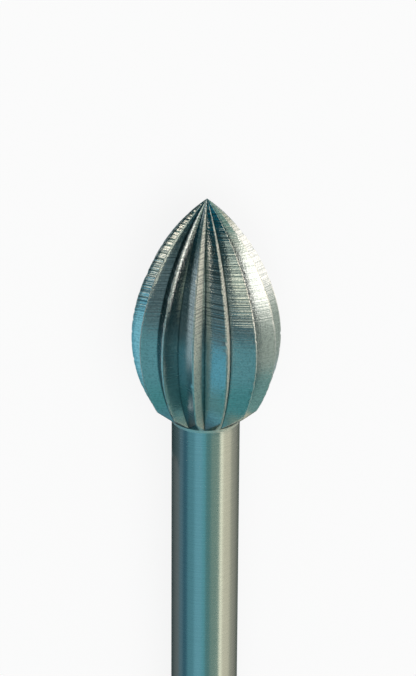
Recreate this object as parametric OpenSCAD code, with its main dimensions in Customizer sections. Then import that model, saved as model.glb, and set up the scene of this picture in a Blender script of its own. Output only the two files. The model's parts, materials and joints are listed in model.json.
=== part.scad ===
// Bud-shaped steel bur on a straight shank, with sharp straight teeth, lying as it comes to rest.
// Lengths are in millimetres and angles in degrees. The point is towards +Y.

/* [Shank] */
// Diameter of the shank, which a collet grips
shank_d = 2.35; // [1.6:0.05:3.2]
// Length from the shank's end to the point
overall_length = 44; // [30:0.5:60]
// Width of the chamfer at the shank's end
end_chamfer = 0.2; // [0.05:0.05:0.5]
// Width of the narrow shoulder where the head starts
shoulder = 0.03; // [0.01:0.01:0.1]

/* [Head] */
// Largest diameter of the head, over the cutting edges
head_d = 5.08; // [3.6:0.02:7]
// Length of the head, from the shank to the point
head_length = 8; // [6.5:0.1:11]
// Height of the largest diameter above the shank's top
belly_height = 3; // [2.2:0.05:4]
// Radius of the arc round the belly
belly_arc_r = 4.9; // [4:0.1:9]
// Angle above the belly where the flatter arc of the nose starts
nose_start_angle = 12; // [8:1:24]
// Height of the cone under the head, up to the heel's sharp corner
heel_height = 0.54; // [0.2:0.02:1]

/* [Teeth] */
// Number of teeth
teeth = 14; // [10:1:20]
// Share of the head's radius that is left under the root of a flute
root_share = 0.808; // [0.7:0.002:0.92]
// Share of a tooth's pitch between its cutting edge and the root in front of it
gullet_share = 0.3; // [0.2:0.01:0.45]
// Share of a tooth's pitch that stays as a land behind the cutting edge
land_share = 0.04; // [0.02:0.01:0.15]

/* [Hidden] */
$fn = 96;
steel = [0.62, 0.66, 0.68];
heel_rings = 8;
head_rings = 28;
crowding = 1.25;

shank_r = shank_d / 2;
head_r = head_d / 2;
seat_r = shank_r + shoulder;
shank_top = overall_length - head_length;
tip_rise = head_length - belly_height;

// The outline of the head: an arc round the belly, then a tangent flatter one up to the point.
nose_way = [cos(nose_start_angle), sin(nose_start_angle)];
nose_start = [head_r - belly_arc_r, 0] + belly_arc_r * nose_way;
nose_gap = [0, tip_rise] - nose_start;
nose_arc_r = -(nose_gap * nose_gap) / (2 * nose_gap * nose_way);
nose_centre = nose_start - nose_arc_r * nose_way;

function crest_r(rise) =
    rise < nose_start[1]
        ? head_r - belly_arc_r + sqrt(pow(belly_arc_r, 2) - pow(rise, 2))
        : nose_centre[0] + sqrt(pow(nose_arc_r, 2) - pow(rise - nose_centre[1], 2));
heel_r = crest_r(heel_height - belly_height);
function heel_cone_r(height) =
    height < heel_height ? seat_r + (heel_r - seat_r) * height / heel_height : head_r;

// One tooth's section: its cutting edge, the root in front of it and the land of the next tooth.
pitch = 360 / teeth;
section = [
    [0, 1],
    [gullet_share, root_share],
    [1 - land_share, 1],
];
corners = len(section) * teeth;

// The rings that the head is lofted through, close together near the point.
heights = concat(
    [for (step = [0:heel_rings - 1]) heel_height * step / heel_rings],
    [for (step = [0:head_rings - 1])
        head_length - (head_length - heel_height) * pow(1 - step / head_rings, crowding)]
);

function ring(height) = [
    for (tooth = [0:teeth - 1], place = section)
        let (
            angle = 90 + rest_angle + (tooth + land_share + place[0]) * pitch,
            r = min(crest_r(height - belly_height) * place[1], heel_cone_r(height))
        )
        [r * cos(angle), r * sin(angle), height]
];
function side(low) = [
    for (corner = [0:corners - 1])
        let (next = (corner + 1) % corners, a = low * corners, b = a + corners)
        each [[a + corner, b + corner, b + next], [a + corner, b + next, a + next]]
];

// At rest the bur lies on two neighbouring teeth and on the shank's end.
rest_angle = (1 - land_share) * pitch / 2;
tilt = asin((head_r * cos(rest_angle) - shank_r) / (shank_top + belly_height - end_chamfer));
rest_height = shank_r * cos(tilt) - end_chamfer * sin(tilt);
end_overhang = (shank_r - end_chamfer) * sin(tilt);
rest_middle = (overall_length * cos(tilt) - end_overhang) / 2;

module head() {
    rings = len(heights);
    last = (rings - 1) * corners;
    apex = rings * corners;
    polyhedron(
        points = concat(
            [for (height = heights) each ring(height)],
            [[0, 0, head_length]]
        ),
        faces = concat(
            [[for (corner = [0:corners - 1]) corner]],
            [for (low = [0:rings - 2]) each side(low)],
            [for (corner = [0:corners - 1]) [last + corner, apex, last + (corner + 1) % corners]]
        )
    );
}

module shank() {
    cylinder(h = end_chamfer, r1 = shank_r - end_chamfer, r2 = shank_r);
    translate([0, 0, end_chamfer])
        cylinder(h = shank_top + heel_height - end_chamfer, r = shank_r);
}

module bur() {
    color(steel)
        translate([0, -rest_middle, rest_height])
            rotate([tilt - 90, 0, 0])
                union() {
                    shank();
                    translate([0, 0, shank_top])
                        head();
                }
}

bur();
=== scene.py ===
import json
import math

import bmesh
import bpy
from mathutils import Matrix, Vector, noise


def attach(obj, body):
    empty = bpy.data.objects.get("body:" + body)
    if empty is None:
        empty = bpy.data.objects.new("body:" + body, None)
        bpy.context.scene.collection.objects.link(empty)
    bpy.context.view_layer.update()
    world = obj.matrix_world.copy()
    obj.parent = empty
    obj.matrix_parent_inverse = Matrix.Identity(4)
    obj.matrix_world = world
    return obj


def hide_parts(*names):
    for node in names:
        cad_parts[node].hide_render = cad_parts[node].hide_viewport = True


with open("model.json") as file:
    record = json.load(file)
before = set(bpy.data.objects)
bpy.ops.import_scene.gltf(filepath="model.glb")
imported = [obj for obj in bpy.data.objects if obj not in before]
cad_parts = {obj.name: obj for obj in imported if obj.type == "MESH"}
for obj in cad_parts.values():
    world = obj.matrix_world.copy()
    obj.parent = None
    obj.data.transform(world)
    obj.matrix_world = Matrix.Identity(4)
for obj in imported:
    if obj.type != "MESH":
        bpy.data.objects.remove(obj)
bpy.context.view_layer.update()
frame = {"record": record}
mm = 0.001  # sizes below are in millimetres


# The shank's mount carries the bur's axis, so the dressed bur is built along it.
shankMount = frame["record"]["mounts"][0]
towardsTip = -Vector(shankMount["axis"]).normalized()
shankR = shankMount["dims"]["r_mm"]

bur = {
    "length": 44.0,
    "headLength": 8.0,
    "endChamfer": 0.2,
    "shoulder": 0.03,
    "shankSteps": (0.02, 0.3, 2, 5, 8, 8, 8),
    "headR": 2.54,
    "bellyHeight": 3.0,
    "bellyArc": 4.9,
    "noseStart": math.radians(12),
    "heelHeight": 0.54,
    "teeth": 14,
    "landShare": 0.04,
    "landReach": 0.1,
    "rings": 150,
    "heelRings": 26,
    "crowding": 1.15,
    "sharpAngle": math.radians(24),
    "mergeGap": 0.0004,
}
shankTop = bur["length"] - bur["headLength"]
heelHeight = bur["heelHeight"]
seatR = shankR + bur["shoulder"]
pitch = 2 * math.pi / bur["teeth"]
mountMiddle = (bur["endChamfer"] + shankTop) / 2
burOrigin = Vector(shankMount["pos_m"]) - towardsTip * mountMiddle * mm
burTurn = Matrix.Rotation(math.atan2(towardsTip.z, towardsTip.y) - math.pi / 2, 4, "X")
burPlace = Matrix.Translation(burOrigin) @ burTurn


# One tooth runs from its cutting edge down the flat rake face, round the root and up the next
# tooth's back to its land. A corner is a share of the pitch and a share of the head's radius.
tooth = {
    "edge": (0.0, 1.0),
    "root": (0.30, 0.808),
    "land": (0.96, 1.0),
    "rakeSteps": 8,
    "backSteps": 10,
    "rakeHollow": -0.007,
    "rakeLean": 0.6,
    "backCrown": 0.008,
    "backLean": 1,
}


def cornerPoint(corner):
    angle = corner[0] * pitch
    return Vector((corner[1] * math.cos(angle), corner[1] * math.sin(angle)))


def facePoints(low, high, steps, swell, lean):
    # Points across one face, which is flat but for a slight hollow or crown near one side.
    span = high - low
    outward = Vector((span.y, -span.x)).normalized()
    shares = [step / steps for step in range(steps)]
    return [low + span * share + outward * swell * math.sin(math.pi * share ** lean) for share in shares]


def toothSection():
    edge, root, land = (cornerPoint(tooth[name]) for name in ("edge", "root", "land"))
    rake = facePoints(edge, root, tooth["rakeSteps"], tooth["rakeHollow"], tooth["rakeLean"])
    back = facePoints(root, land, tooth["backSteps"], tooth["backCrown"], tooth["backLean"])
    return rake + back + [land]


def noseArc():
    way = Vector((math.cos(bur["noseStart"]), math.sin(bur["noseStart"])))
    start = Vector((bur["headR"] - bur["bellyArc"], 0)) + bur["bellyArc"] * way
    gap = Vector((0, bur["headLength"] - bur["bellyHeight"])) - start
    radius = -gap.length_squared / (2 * gap.dot(way))
    return radius, start - radius * way, start.y


noseR, noseCentre, noseRise = noseArc()


def crestR(height):
    rise = height - bur["bellyHeight"]
    if rise < noseRise:
        return bur["headR"] - bur["bellyArc"] + math.sqrt(bur["bellyArc"] ** 2 - rise ** 2)
    return noseCentre.x + math.sqrt(max(noseR ** 2 - (rise - noseCentre.y) ** 2, 0))


def heelConeR(height):
    return seatR + (crestR(heelHeight) - seatR) * height / heelHeight


def ringHeights():
    noseLength = bur["headLength"] - heelHeight
    upper = [bur["headLength"] - noseLength * (1 - step / bur["rings"]) ** bur["crowding"]
             for step in range(bur["rings"])]
    lower = [heelHeight * (1 - (step + 1) / bur["heelRings"]) for step in range(bur["heelRings"])]
    return upper, lower


def grow(bm, edges, scale, rise):
    # Extrudes a ring of edges, scales it about the axis and moves it along.
    made = bmesh.ops.extrude_edge_only(bm, edges=edges)["geom"]
    verts = [item for item in made if isinstance(item, bmesh.types.BMVert)]
    bmesh.ops.scale(bm, vec=(scale, scale, 1), verts=verts)
    bmesh.ops.translate(bm, vec=(0, 0, rise), verts=verts)
    return [item for item in made if isinstance(item, bmesh.types.BMEdge)]


def growAlong(bm, edges, heights):
    for height, nextHeight in zip(heights, heights[1:]):
        edges = grow(bm, edges, crestR(nextHeight) / crestR(height), nextHeight - height)
    return edges


# Where one tooth's cutting edge stands, so that the bur lies on two neighbouring teeth.
toothStart = math.pi / 2 + (1 + bur["landShare"]) / 2 * pitch


def toothedRing(bm, height):
    # One tooth's chain of edges, spun round to make the whole ring.
    turned = Matrix.Rotation(toothStart, 2)
    chain = [bm.verts.new((*(turned @ point * crestR(height)), height)) for point in toothSection()]
    edges = [bm.edges.new(pair) for pair in zip(chain, chain[1:])]
    bmesh.ops.spin(bm, geom=chain + edges, cent=(0, 0, 0), axis=(0, 0, 1), dvec=(0, 0, 0),
                   angle=(bur["teeth"] - 1) * pitch, steps=bur["teeth"] - 1, use_duplicate=True)
    ends = [vert for vert in bm.verts if len(vert.link_edges) == 1]
    ends.sort(key=lambda vert: math.atan2(vert.co.y, vert.co.x))
    for first, second in zip(ends, ends[1:] + ends[:1]):
        if (first.co - second.co).length < bur["landReach"] * pitch * crestR(height):
            bm.edges.new((first, second))  # the land behind the edge
    return list(bm.edges)


def growHead(bm):
    upper, lower = ringHeights()
    start = toothedRing(bm, upper[0])
    top = growAlong(bm, start, upper)
    grow(bm, top, 0, bur["headLength"] - upper[-1])  # the point
    return growAlong(bm, start, upper[:1] + lower)


def growShank(bm, edges):
    edges = grow(bm, edges, shankR / seatR, 0)  # the shoulder's flat underside
    for drop in bur["shankSteps"]:
        edges = grow(bm, edges, 1, -drop)
    edges = grow(bm, edges, 1, sum(bur["shankSteps"]) + bur["endChamfer"] - shankTop)
    edges = grow(bm, edges, 1 - bur["endChamfer"] / shankR, -bur["endChamfer"])
    grow(bm, edges, 0, 0)  # the flat end


# Small nicks along the cutting edges, and how each tooth's faces are ground; the coarse rakes also carry a
# painted highlight in the steel.
wear = {
    "nickFrom": 0.9,
    "nickSpread": 1.2,
    "nickPitch": 7,
    "nickRare": 0.1,
    "nickDepth": 0.06,
    "coarseTeeth": (1, 6, 7, 11),
    "calmRakes": (4, 5, 9, 12),
    "calmBacks": (1, 5, 8, 9, 13),
    "calmShare": 0.45,
    "deepRakes": (3, 10),
    "deepShare": 1.4,
    "shankCrest": 0.5,
    "thinnest": 0.01,
}


def wearEdges(bm, crest):
    for vert in bm.verts:
        if vert[crest] > wear["nickFrom"] and vert.co.z > 0:
            across = vert.co.xy * wear["nickSpread"]
            spot = Vector((across.x, across.y, vert.co.z * wear["nickPitch"]))
            nick = max(noise.noise(spot) - wear["nickRare"], 0) * wear["nickDepth"]
            vert.co.xy *= 1 - nick / bur["headR"]


def trimHeel(bm):
    # Keeps the teeth inside the cone under the belly.
    for vert in bm.verts:
        if vert.co.z < heelHeight:
            vert.co.xy *= min(heelConeR(vert.co.z) / vert.co.xy.length, 1)


def markHead(bm):
    # Where a point stands between root and crest, and whether it is cut like a tooth.
    crest = bm.verts.layers.float.new("crest")
    cut = bm.verts.layers.float.new("cut")
    root = tooth["root"][1]
    for vert in bm.verts:
        depth = vert.co.xy.length / max(crestR(vert.co.z), wear["thinnest"])
        vert[crest] = min(max((depth - root) / (1 - root), 0), 1)
        vert[cut] = 1
    return crest, cut


def markFaces(bm):
    faceSeed = bm.faces.layers.float.new("faceSeed")
    coarse = bm.faces.layers.float.new("coarse")
    milled = bm.faces.layers.float.new("milled")
    for face in bm.faces:
        middle = face.calc_center_median()
        turnShare = (math.atan2(middle.y, middle.x) - toothStart) / pitch
        onRake = turnShare % 1 < tooth["root"][0]
        number = math.floor(turnShare) % bur["teeth"]
        calm = number in (wear["calmRakes"] if onRake else wear["calmBacks"])
        deep = onRake and number in wear["deepRakes"]
        face[faceSeed] = math.floor(turnShare) * 2 + (not onRake)
        face[coarse] = onRake and number in wear["coarseTeeth"]
        face[milled] = wear["calmShare"] if calm else wear["deepShare"] if deep else 1
    return faceSeed, coarse, milled


def smoothFaces(bm):
    for face in bm.faces:
        face.smooth = True
    for edge in bm.edges:
        edge.smooth = len(edge.link_faces) == 2 and edge.calc_face_angle() < bur["sharpAngle"]


def buildBur():
    bm = bmesh.new()
    seat = growHead(bm)
    crest, cut = markHead(bm)
    faceSeed, coarse, milled = markFaces(bm)
    wearEdges(bm, crest)
    trimHeel(bm)
    growShank(bm, seat)
    for vert in bm.verts:
        if vert.co.z < 0:
            vert[crest] = wear["shankCrest"]
            vert[cut] = 0
    for face in bm.faces:
        if face.calc_center_median().z < 0:
            face[faceSeed] = 0
            face[coarse] = 0
            face[milled] = 1
    bmesh.ops.translate(bm, vec=(0, 0, shankTop), verts=bm.verts)
    bmesh.ops.remove_doubles(bm, verts=bm.verts, dist=bur["mergeGap"])
    bmesh.ops.recalc_face_normals(bm, faces=bm.faces)
    smoothFaces(bm)
    bm.transform(burPlace @ Matrix.Scale(mm, 4))
    mesh = bpy.data.meshes.new("burSteelwork")
    bm.to_mesh(mesh)
    bm.free()
    piece = bpy.data.objects.new("burSteelwork", mesh)
    bpy.context.scene.collection.objects.link(piece)
    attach(piece, "root")
    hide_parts("bur")
    print("bur built with", len(mesh.polygons), "faces")
    return piece


class Wire:
    # Wraps a socket, so that shader maths reads as an expression.
    def __init__(self, tree, socket):
        self.tree = tree
        self.socket = socket

    def maths(self, operation, first, second):
        settings = {"operation": operation}
        return addNode(self.tree, "ShaderNodeMath", settings, {0: first, 1: second})["Value"]

    def __add__(self, other):
        return self.maths("ADD", self, other)

    def __radd__(self, other):
        return self.maths("ADD", other, self)

    def __sub__(self, other):
        return self.maths("SUBTRACT", self, other)

    def __rsub__(self, other):
        return self.maths("SUBTRACT", other, self)

    def __mul__(self, other):
        return self.maths("MULTIPLY", self, other)

    def __rmul__(self, other):
        return self.maths("MULTIPLY", other, self)


def addNode(tree, kind, settings=None, inputs=None):
    node = tree.nodes.new(kind)
    for name, value in (settings or {}).items():
        setattr(node, name, value)
    for name, value in (inputs or {}).items():
        socket = node.inputs[name]
        if isinstance(name, str):
            socket = next(each for each in node.inputs if each.name == name and each.enabled)
        if isinstance(value, Wire):
            tree.links.new(value.socket, socket)
        else:
            socket.default_value = value
    return {socket.name: Wire(tree, socket) for socket in node.outputs if socket.enabled}


def newMaterial(name):
    material = bpy.data.materials.new(name)
    material.use_nodes = True
    tree = material.node_tree
    tree.nodes.clear()
    return material, tree


def readAttribute(tree, name):
    return addNode(tree, "ShaderNodeAttribute", {"attribute_name": name})["Fac"]


def ramp(tree, value, start, end):
    return addNode(tree, "ShaderNodeMapRange", {"interpolation_type": "SMOOTHSTEP"}, {
        "Value": value, "From Min": start, "From Max": end, "To Min": 0, "To Max": 1})["Result"]


def mixColour(tree, share, first, second):
    inputs = {"Factor": share}
    for name, colour in (("A", first), ("B", second)):
        inputs[name] = colour if isinstance(colour, Wire) else (*colour, 1)
    return addNode(tree, "ShaderNodeMix", {"data_type": "RGBA"}, inputs)["Result"]


def solidNoise(tree, place, scale):
    return addNode(tree, "ShaderNodeTexNoise", None, {"Vector": place, "Scale": scale, "Detail": 1})["Fac"]


# The bare steel, with painted highlights on the crests, the coarse rakes and a ring under the head, and
# painted shade in the roots and on the grazing rims. Spans along the bur are in metres, and a span that
# falls turns its share round.
steelLook = {
    "steel": (0.55, 0.62, 0.63),
    "bright": (0.93, 0.94, 0.88),
    "valley": (0.20, 0.28, 0.30),
    "groove": (0.08, 0.14, 0.15),
    "grazing": (0.2, 0.25, 0.25),
    "roughness": 0.10,
    "lineRoughness": 0.1,
    "edgeRoughness": 0.6,
    "shankRoughness": 0.11,
    "lowerRoughness": 0.1,
    "lineDepth": 0.000008,
    "swayScale": 900,
    "grainScale": 16000,
    "upperSpan": (0.0004, 0.0018),  # where the milling deepens and the painted crest highlight strengthens, above the belly
    "ringSpan": (-0.00013, -0.00008),  # painted highlight: the pale ring on the shank, under the head
    "crestSpan": (0.94, 1.0),
    "faceSpan": (0.1, 0.4),
    "rootSpan": (0.08, 0.0),
    "scoreSpan": (0.53, 0.43),
    "speckleSpan": (0.52, 0.35),
}
# How strongly each mark shows: everywhere, on the cut faces, on the upper ones and on coarse ones. The edge
# weights paint highlights and the root weight paints shade.
marks = {
    "edge": {"all": 0.35, "upper": 0.5, "coarse": 0.85, "ring": 0.8},
    "valley": {"all": 0.7},
    "score": {"all": 0.07, "cut": 0.06, "upper": 0.6, "coarse": 0.5},
    "speckle": {"all": 0.05, "cut": 0.22},
    "line": {"all": 0.18, "cut": 0.1, "upper": 0.85, "coarse": 0.4},
    "grain": {"all": 0.1, "cut": 0.3, "coarse": 0.7},
    "sway": {"all": 0.2, "line": 1.6},
}
# Fine milling lines, which are bumps, and wider scores, which are darker.
millLines = {"perMetre": 24000, "apart": 31.7, "sway": 0.2, "stretch": 0.3, "roughness": 0.6}
millScores = {"perMetre": 16500, "apart": 17.3, "sway": 0.15, "stretch": 0.3, "roughness": 0.5}


def crossLines(tree, along, milled, seed, sway, look):
    # Lines straight across each face, more open where a face is deeply milled.
    spread = along * look["perMetre"] * (1 + look["stretch"] - milled * look["stretch"])
    return addNode(tree, "ShaderNodeTexNoise", {"noise_dimensions": "1D"}, {
        "W": spread + seed * look["apart"] + sway * look["sway"],
        "Scale": 1,
        "Detail": 1,
        "Roughness": look["roughness"],
    })["Fac"]


def millDepth(cut, milled, upper, coarse, mark):
    # Deep on the upper half of the cut faces, less so on coarse ones, and faint elsewhere.
    return cut * milled * (upper * mark["upper"] + mark["cut"]) * (1 - coarse * mark["coarse"]) + mark["all"]


def burSteel():
    material, tree = newMaterial("burSteel")
    look = steelLook
    place = addNode(tree, "ShaderNodeTexCoord")["Object"]
    # Turned into the bur's own frame, so that the lines run straight across each face.
    turned = addNode(tree, "ShaderNodeMapping", {"vector_type": "POINT"},
                     {"Vector": place, "Rotation": tuple(burTurn.inverted().to_euler())})["Vector"]
    along = addNode(tree, "ShaderNodeSeparateXYZ", None, {"Vector": turned})["Z"]
    headPlace = (burTurn.inverted() @ burOrigin).z + shankTop * mm
    bellyPlace = headPlace + bur["bellyHeight"] * mm
    seed = readAttribute(tree, "faceSeed")
    coarse = readAttribute(tree, "coarse")
    milled = readAttribute(tree, "milled")
    crest = readAttribute(tree, "crest")
    cut = readAttribute(tree, "cut")
    sway = solidNoise(tree, turned, look["swayScale"])
    grain = solidNoise(tree, turned, look["grainScale"])
    lines = crossLines(tree, along, milled, seed, sway, millLines)
    scores = crossLines(tree, along, milled, seed, sway, millScores)

    upper = ramp(tree, along, *(bellyPlace + rise for rise in look["upperSpan"]))
    # Painted highlight: a pale ring round the shank just under the head.
    ring = ramp(tree, along, *(headPlace + rise for rise in look["ringSpan"])) * (1 - cut)
    onCrest = ramp(tree, crest, *look["crestSpan"])
    offRoot = ramp(tree, crest, *look["faceSpan"])
    rootShadeMask = ramp(tree, crest, *look["rootSpan"])
    # Painted highlight: the crests are mixed towards a pale colour, more so on the upper head.
    edge = ring * marks["edge"]["ring"] + onCrest * (upper * marks["edge"]["upper"] + marks["edge"]["all"])
    # Painted highlight: the coarse rake faces are lightened away from their roots, besides being rougher.
    edge = edge + offRoot * coarse * marks["edge"]["coarse"]
    scored = ramp(tree, scores, *look["scoreSpan"]) * millDepth(cut, milled, upper, coarse, marks["score"])
    speckled = cut * marks["speckle"]["cut"] + marks["speckle"]["all"]
    colour = mixColour(tree, edge, look["steel"], look["bright"])
    # Painted shade: the roots between the teeth are darkened.
    colour = mixColour(tree, rootShadeMask * marks["valley"]["all"], colour, look["valley"])
    colour = mixColour(tree, scored, colour, look["groove"])
    colour = mixColour(tree, ramp(tree, grain, *look["speckleSpan"]) * speckled, colour, look["groove"])

    swayed = sway * marks["sway"]["line"] + marks["sway"]["all"]
    lineHeight = millDepth(cut, milled, upper, coarse, marks["line"]) * swayed
    grainHeight = coarse * marks["grain"]["coarse"] + cut * marks["grain"]["cut"] + marks["grain"]["all"]
    bump = addNode(tree, "ShaderNodeBump", None, {
        "Height": lines * lineHeight + grain * grainHeight,
        "Strength": 1,
        "Distance": look["lineDepth"],
    })["Normal"]
    roughness = look["roughness"] + lines * look["lineRoughness"] + edge * look["edgeRoughness"]
    roughness = roughness + (1 - cut) * look["shankRoughness"]
    roughness = roughness + (1 - upper) * cut * look["lowerRoughness"]
    shader = addNode(tree, "ShaderNodeBsdfPrincipled", None, {
        "Base Color": colour,
        "Metallic": 1,
        "Roughness": roughness,
        # Painted shade: a dark edge tint that darkens the rims at grazing angles.
        "Specular Tint": (*look["grazing"], 1),
        "Normal": bump,
    })["BSDF"]
    addNode(tree, "ShaderNodeOutputMaterial", None, {"Surface": shader})
    return material


burPiece = buildBur()
burPiece.data.materials.append(burSteel())
print("steel on the bur")


# The camera of the photograph: above the lying bur, a little towards its point.
view = {
    "distance": 100.0,
    "pitch": math.radians(23.71),
    "focal": 2943.0,  # in pixels
    "roll": 0.0067,
    "aside": 0.060,
    "belowTip": 5.075,
    "turn": math.radians(-3.14),
    "frame": (416, 676),
    "sensor": 36,
    "nearest": 0.001,
    "farthest": 10,
}


def setCamera():
    turn = Matrix.Rotation(view["turn"], 4, "Z")
    sideways, outward, axis = Vector((1, 0, 0)), Vector((0, -1, 0)), Vector((0, 0, 1))
    forward = -math.cos(view["pitch"]) * outward - math.sin(view["pitch"]) * axis
    upward = math.cos(view["pitch"]) * axis - math.sin(view["pitch"]) * outward
    right = sideways * math.cos(view["roll"]) + upward * math.sin(view["roll"])
    top = upward * math.cos(view["roll"]) - sideways * math.sin(view["roll"])
    target = Vector((view["aside"], 0, bur["length"] - view["belowTip"]))
    look = Matrix((right, top, -forward)).transposed().to_4x4()
    look.translation = target - forward * view["distance"]
    placed = burPlace @ Matrix.Scale(mm, 4) @ turn @ look
    camera = bpy.data.cameras.new("camera")
    camera.sensor_width = view["sensor"]
    camera.lens = view["sensor"] * view["focal"] / max(view["frame"])
    camera.clip_start = view["nearest"]
    camera.clip_end = view["farthest"]
    holder = bpy.data.objects.new("camera", camera)
    bpy.context.scene.collection.objects.link(holder)
    spot, spin, size = placed.decompose()
    holder.location = spot
    holder.rotation_mode = "QUATERNION"
    holder.rotation_quaternion = spin
    bpy.context.scene.camera = holder
    print("camera set")


setCamera()

studio = {
    "worldColour": (0.47, 0.48, 0.48),
    "floorSize": 0.9,
    "floorColour": (0.86, 0.86, 0.86),
    "floorGlow": 0.965,
    "shadowShare": 0.12,
    "lampPlace": (0.1, 0.1, 0.9),
    "lampSize": 0.9,
    "lampPower": 7,
    "cardSteps": 12,
}

# Reflection cards of a light tent round the bur: from and to in degrees to the right of straight
# up, from and to in millimetres above the shank's top, and the card's colour. Where two colours
# are given, the card is barred with them, and the number of bars comes last.
cards = {
    "crestPanel": ((39.5, 46), (4.2, 8.8), (2.4, 2.15, 1.92)),
    "whitePanel": ((46, 57), (4.4, 9.6), (2.6, 2.3, 2.0)),
    "flarePanel": ((57, 82), (4.4, 11.0), (3.5, 3.05, 2.7)),
    "rightPanel": ((82, 112), (4.4, 9.6), (2.2, 1.88, 1.7)),
    "whiteFringe": ((39.5, 57), (9.6, 11.4), (0.90, 0.86, 0.68)),
    "paleFringe": ((41, 112), (2.9, 4.4), (0.82, 0.81, 0.70)),
    "rightFringe": ((82, 112), (9.6, 11.4), (1.0, 0.85, 0.63)),
    "palePanel": ((-5, 22), (5.0, 7.7), (2.15, 1.9, 1.45), (0.15, 0.25, 0.27), 3),
    "softPanel": ((-4, 22), (7.7, 12.2), (1.4, 1.4, 1.15), (0.10, 0.20, 0.22), 5),
    "midCard": ((-5, 22), (2.0, 5.0), (0.12, 0.20, 0.22)),
    "gapCard": ((22, 41), (-2, 4.2), (0.017, 0.043, 0.048)),
    "upperGap": ((22, 39.5), (4.2, 14), (0.005, 0.02, 0.025)),
    "lowGapCard": ((22, 47), (-50, -2), (0.028, 0.095, 0.10)),
    "slateCard": ((-57, -5), (2.0, 8), (0.14, 0.20, 0.21)),
    "inkCard": ((-57, -4), (8, 12.2), (0.03, 0.06, 0.062)),
    "leftPale": ((-52, -38), (4.3, 7.2), (0.62, 0.64, 0.56), (0.08, 0.14, 0.15), 3),
    "leftPanel": ((-75, -57), (5.3, 8.3), (2.4, 2.1, 1.7), (0.08, 0.12, 0.13), 6),
    "leftTop": ((-75, -56), (8.3, 10.3), (4.8, 3.9, 3.1), (0.08, 0.12, 0.13), 3),
    "leftDark": ((-75, -57), (10.3, 12.2), (0.05, 0.11, 0.115)),
    "dullCard": ((-75, -57), (3.0, 5.3), (0.12, 0.36, 0.47)),
    "iceCard": ((-75, -57), (-3.8, 3.0), (0.34, 0.80, 0.95)),
    "sideCard": ((-92, -75), (-0.5, 9), (0.46, 0.53, 0.55)),
    "sideTop": ((-112, -75), (9, 12.2), (0.06, 0.12, 0.12)),
    "sideDark": ((-112, -92), (4.7, 9), (0.045, 0.09, 0.10)),
    "sideShade": ((-112, -92), (-0.5, 4.7), (0.013, 0.039, 0.045)),
    "navyCard": ((-112, -75), (-50, -0.5), (0.028, 0.095, 0.115)),
    "blueCard": ((-57, -28), (-3.8, 2.0), (0.16, 0.48, 0.61)),
    "seaCard": ((-75, -44), (-50, -3.8), (0.155, 0.34, 0.34)),
    "tealCard": ((-28, 22), (-3.8, 2.0), (0.165, 0.40, 0.435)),
    "greenCard": ((-44, 22), (-50, -3.8), (0.10, 0.345, 0.355)),
    "greyCard": ((41, 112), (-2, 2.9), (0.50, 0.53, 0.45)),
    "sageCard": ((47, 112), (-50, -2), (0.24, 0.43, 0.395)),
    "tipCard": ((-112, 41), (12.2, 20), (0.006, 0.08, 0.108)),
    "tipGlow": ((-112, 41), (20, 45), (0.03, 0.28, 0.38)),
    "tipPanel": ((41, 112), (11.4, 45), (0.30, 0.45, 0.375)),
}
tentRadius = 8

# Narrow cards close beside the shank and the heel.
strips = {
    "leftStrip": ((-131, -78), (-50, -2.2), (0.205, 0.22, 0.215)),
    "collarShade": ((-131, -78), (-2.0, -0.3), (0.10, 0.145, 0.15)),
    "slateStrip": ((-78, -64), (-50, -0.3), (0.135, 0.235, 0.28)),
    "navyStrip": ((-64, -50), (-50, -0.3), (0.048, 0.14, 0.19)),
    "blueStrip": ((-50, -30), (-50, -0.3), (0.125, 0.325, 0.38)),
    "brightStrip": ((-30, -11), (-50, -0.3), (0.20, 0.47, 0.55)),
    "tealStrip": ((-11, -2), (-50, -0.3), (0.15, 0.43, 0.48)),
    "greenStrip": ((-2, 11), (-50, -0.3), (0.12, 0.27, 0.26)),
    "sageStrip": ((11, 35), (-50, -0.56), (0.25, 0.36, 0.30)),
    "lineStrip": ((35, 43), (-50, -0.56), (1.45, 1.32, 1.0)),
    "warmStrip": ((43, 70), (-50, -0.56), (0.87, 0.76, 0.57)),
    "khakiStrip": ((70, 83), (-50, -0.56), (0.50, 0.46, 0.36)),
    "rightStrip": ((83, 125), (-50, -0.56), (0.50, 0.44, 0.36)),
}
stripRadius = 2.2

# Cards low beside the head, for the rims that look towards the floor.
rims = {
    "heelFlag": ((-131, -84), (-1.1, 1.2), (0.03, 0.09, 0.10)),
    "leftFlag": ((-131, -90), (-50, -1.1), (0.22, 0.22, 0.21)),
    "rightHeel": ((100, 131), (-1.1, 1.2), (0.14, 0.25, 0.24)),
    "rightFlag": ((90, 131), (-50, -1.1), (0.20, 0.30, 0.28)),
}
rimRadius = 3.0


def stagePiece(name, bm):
    mesh = bpy.data.meshes.new(name)
    bm.to_mesh(mesh)
    bm.free()
    piece = bpy.data.objects.new(name, mesh)
    bpy.context.scene.collection.objects.link(piece)
    return piece


def setFloor():
    bm = bmesh.new()
    bmesh.ops.create_grid(bm, x_segments=1, y_segments=1, size=studio["floorSize"])
    floor = stagePiece("floor", bm)
    material, tree = newMaterial("floorPaper")
    rays = addNode(tree, "ShaderNodeLightPath")
    seen = rays["Is Camera Ray"] + rays["Is Glossy Ray"] + rays["Is Transmission Ray"]
    glow = addNode(tree, "ShaderNodeEmission", None, {"Strength": studio["floorGlow"]})["Emission"]
    paper = addNode(tree, "ShaderNodeBsdfDiffuse", None, {"Color": (*studio["floorColour"], 1)})["BSDF"]
    mixed = addNode(tree, "ShaderNodeMixShader", None,
                    {0: seen * (1 - studio["shadowShare"]), 1: paper, 2: glow})["Shader"]
    addNode(tree, "ShaderNodeOutputMaterial", None, {"Surface": mixed})
    floor.data.materials.append(material)
    print("floor set")


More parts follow.
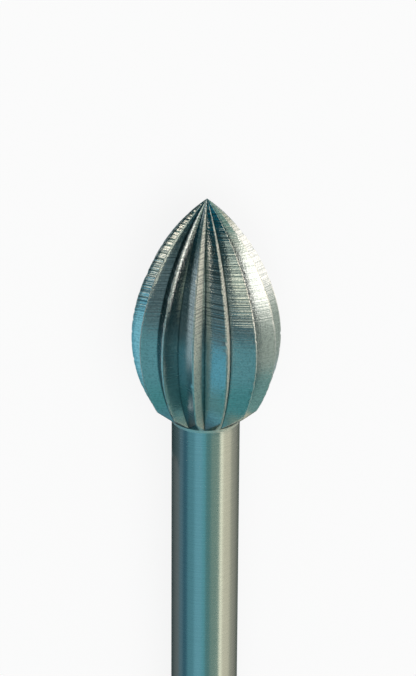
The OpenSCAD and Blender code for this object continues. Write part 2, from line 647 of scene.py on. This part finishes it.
def setCard(name, radius, across, along, colour):
    bm = bmesh.new()
    bmesh.ops.create_grid(bm, x_segments=studio["cardSteps"], y_segments=1, size=0.5)
    for vert in bm.verts:  # bends the flat card round the bur's axis
        aside = math.radians(across[0] + (across[1] - across[0]) * (vert.co.x + 0.5))
        rise = along[0] + (along[1] - along[0]) * (vert.co.y + 0.5)
        vert.co = (radius * math.sin(aside), -radius * math.cos(aside), shankTop + rise)
    bm.transform(burPlace @ Matrix.Scale(mm, 4))
    card = stagePiece(name, bm)
    card.visible_camera = False
    card.visible_diffuse = False
    card.visible_shadow = False
    material, tree = newMaterial(name)
    material.cycles.emission_sampling = "NONE"  # seen in reflections only
    glow = addNode(tree, "ShaderNodeEmission", None, {"Color": (*colour, 1), "Strength": 1})["Emission"]
    addNode(tree, "ShaderNodeOutputMaterial", None, {"Surface": glow})
    card.data.materials.append(material)


def setCards(radius, group):
    for name, (across, along, *colours) in group.items():
        bars = colours[2] if len(colours) == 3 else 1
        span = (along[1] - along[0]) / bars
        for bar in range(bars):
            start = along[0] + span * bar
            setCard(name + str(bar), radius, across, (start, start + span), colours[bar % 2])
    print("cards set:", len(group))


def setLamp():
    lamp = bpy.data.lights.new("softBox", "AREA")
    lamp.size = studio["lampSize"]
    lamp.energy = studio["lampPower"]
    holder = bpy.data.objects.new("softBox", lamp)
    headMiddle = burOrigin + towardsTip * (shankTop + bur["bellyHeight"]) * mm
    holder.location = studio["lampPlace"]
    holder.rotation_euler = (headMiddle - holder.location).to_track_quat("-Z", "Y").to_euler()
    holder.visible_glossy = False
    bpy.context.scene.collection.objects.link(holder)
    print("lamp set")


def setWorld():
    world = bpy.data.worlds.new("studio")
    world.use_nodes = True
    world.node_tree.nodes["Background"].inputs["Color"].default_value = (*studio["worldColour"], 1)
    bpy.context.scene.world = world


setWorld()
setFloor()
setCards(tentRadius, cards)
setCards(stripRadius, strips)
setCards(rimRadius, rims)
setLamp()

bpy.context.scene.view_settings.view_transform = "Standard"
print("scene ready")
